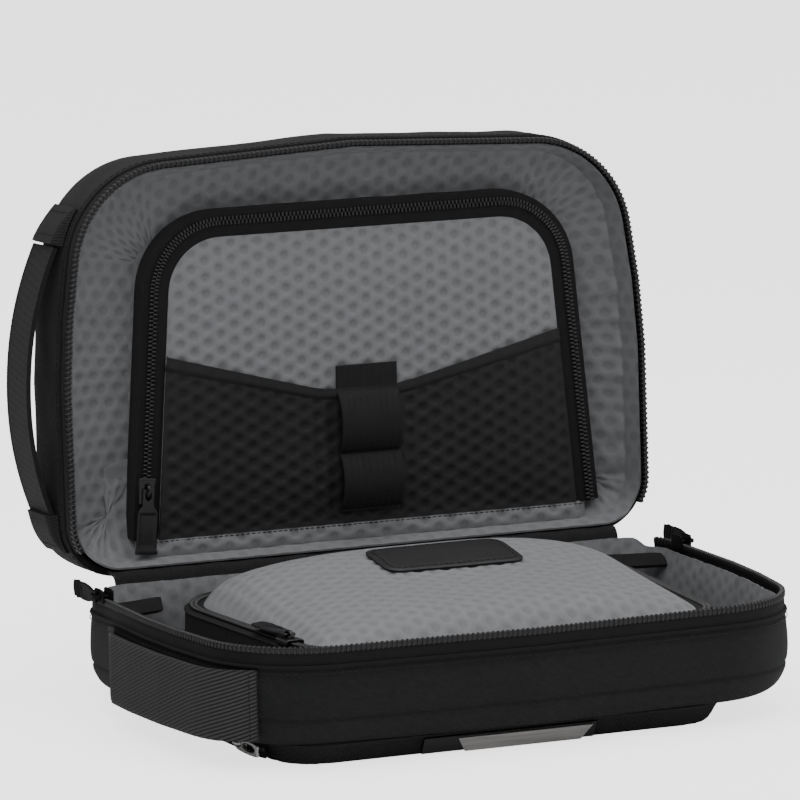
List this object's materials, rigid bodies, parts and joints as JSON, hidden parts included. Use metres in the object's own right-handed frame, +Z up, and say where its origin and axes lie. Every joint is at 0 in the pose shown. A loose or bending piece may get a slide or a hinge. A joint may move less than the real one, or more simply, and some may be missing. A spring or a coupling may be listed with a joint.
{
  "type": "toiletry bag",
  "caption": "Soft clamshell toiletry bag with a zip round three sides, a domed zipped pocket, a lid pocket with elastic loops, a carry handle and a ribbed side grip.",
  "frame": {"origin": "centre of the face the bag rests on, under the middle of its lower half", "axes": "+X along the bag's length, +Y towards the hinge edge, +Z up"},
  "size_m": [0.2859, 0.2268, 0.2236],
  "materials": {
    "black_nylon": "matt woven",
    "black_tape": "matt woven",
    "black_coil": "satin",
    "grey_lining": "matt crinkled",
    "dark_lining": "matt crinkled",
    "ribbed_nylon": "ribbed",
    "webbing": "woven",
    "leather": "satin grained",
    "gunmetal": "brushed",
    "dark_metal": "satin",
    "foam": "matt",
    "board": "matt"
  },
  "bodies": {
    "lower_half": {"lower_gusset": "black_nylon", "base_panel": "black_nylon", "base_board": "board", "base_foam": "foam", "lower_foam": "foam", "lower_lining": "grey_lining", "lower_piping": "black_tape", "lower_chain": "black_coil", "lower_tape": "black_tape", "lower_hinge_leaf": "black_nylon", "tape_tab_left": "black_tape", "tape_tab_right": "black_tape", "front_pocket": "black_nylon", "front_pocket_zip": "black_coil", "badge_backing": "dark_metal", "badge_plate": "gunmetal", "ribbed_grip": "ribbed_nylon", "grip_anchor_back": "black_nylon", "grip_anchor_front": "black_nylon", "dome_gusset": "black_tape", "dome_tape": "black_tape", "dome_chain": "black_coil", "dome_panel": "grey_lining", "leather_patch": "leather"},
    "lid": {"lid_gusset": "black_nylon", "lid_back_panel": "black_nylon", "lid_board": "board", "lid_back_foam": "foam", "lid_foam": "foam", "lid_lining": "grey_lining", "lid_piping": "black_tape", "lid_chain": "black_coil", "lid_tape": "black_tape", "lid_hinge_leaf": "black_nylon", "handle_anchor_low": "black_nylon", "handle_anchor_high": "black_nylon", "lid_pocket_gusset": "black_tape", "lid_pocket_tape": "black_tape", "lid_pocket_chain": "black_coil", "lid_pocket_panel": "grey_lining", "slip_pocket": "dark_lining", "elastic_loops": "black_tape", "hem_band": "grey_lining"},
    "carry_handle": {"handle": "webbing"},
    "lid_pocket_slider": {"lid_pocket_slider": "dark_metal"},
    "lid_pocket_pull": {"lid_pocket_pull": "dark_metal"},
    "dome_slider": {"dome_slider": "dark_metal"},
    "dome_pull": {"dome_pull": "dark_metal"},
    "front_slider": {"front_slider": "gunmetal"},
    "front_pull": {"front_pull": "gunmetal"},
    "main_slider_left": {"main_slider_left": "dark_metal"},
    "main_pull_left": {"main_pull_left": "dark_metal"},
    "main_slider_right": {"main_slider_right": "dark_metal"},
    "main_pull_right": {"main_pull_right": "dark_metal"}
  },
  "joints": [
    {"name": "lid_fold", "type": "hinge", "parent": "lower_half", "child": "lid", "pos_m": [0, 0.087, 0.05], "axis": [1, 0, 0], "range_deg": [-80, 92]},
    {"name": "handle_swing", "type": "hinge", "parent": "lid", "child": "carry_handle", "pos_m": [-0.132, 0.11681, 0.13001], "axis": [0, 0.0349, 0.9994], "range_deg": [-6, 6]},
    {"name": "lid_pocket_zip", "type": "slide", "parent": "lid", "child": "lid_pocket_slider", "axis": [0.0818, 0.0348, 0.996], "range_m": [0, 0.07]},
    {"name": "lid_pocket_pull_swing", "type": "hinge", "parent": "lid_pocket_slider", "child": "lid_pocket_pull", "pos_m": [-0.09428, 0.09423, 0.08377], "axis": [-0.9966, 0.0029, 0.0818], "range_deg": [0, 176]},
    {"name": "dome_zip", "type": "slide", "parent": "lower_half", "child": "dome_slider", "axis": [-0.0819, 0.9966, 0], "range_m": [0, 0.07]},
    {"name": "dome_pull_swing", "type": "hinge", "parent": "dome_slider", "child": "dome_pull", "pos_m": [-0.0908, -0.048, 0.04835], "axis": [0.9966, 0.0819, 0], "range_deg": [0, 176]},
    {"name": "front_pocket_zip_slide", "type": "slide", "parent": "lower_half", "child": "front_slider", "axis": [-0.04, 0.9992, 0], "range_m": [0, 0.08]},
    {"name": "front_pull_swing", "type": "hinge", "parent": "front_slider", "child": "front_pull", "pos_m": [-0.11131, -0.04216, 0.0061], "axis": [0, 0, -1], "range_deg": [0, 176]},
    {"name": "main_zip_left", "type": "slide", "parent": "lower_half", "child": "main_slider_left", "axis": [0, -1, 0], "range_m": [0, 0.04]},
    {"name": "main_pull_left_swing", "type": "hinge", "parent": "main_slider_left", "child": "main_pull_left", "pos_m": [-0.13265, 0.056, 0.05], "axis": [0, 0, 1], "range_deg": [0, 176]},
    {"name": "main_zip_right", "type": "slide", "parent": "lower_half", "child": "main_slider_right", "axis": [0, -1, 0], "range_m": [0, 0.04]},
    {"name": "main_pull_right_swing", "type": "hinge", "parent": "main_slider_right", "child": "main_pull_right", "pos_m": [0.13265, 0.056, 0.05], "axis": [0, 0, -1], "range_deg": [0, 176]}
  ]
}
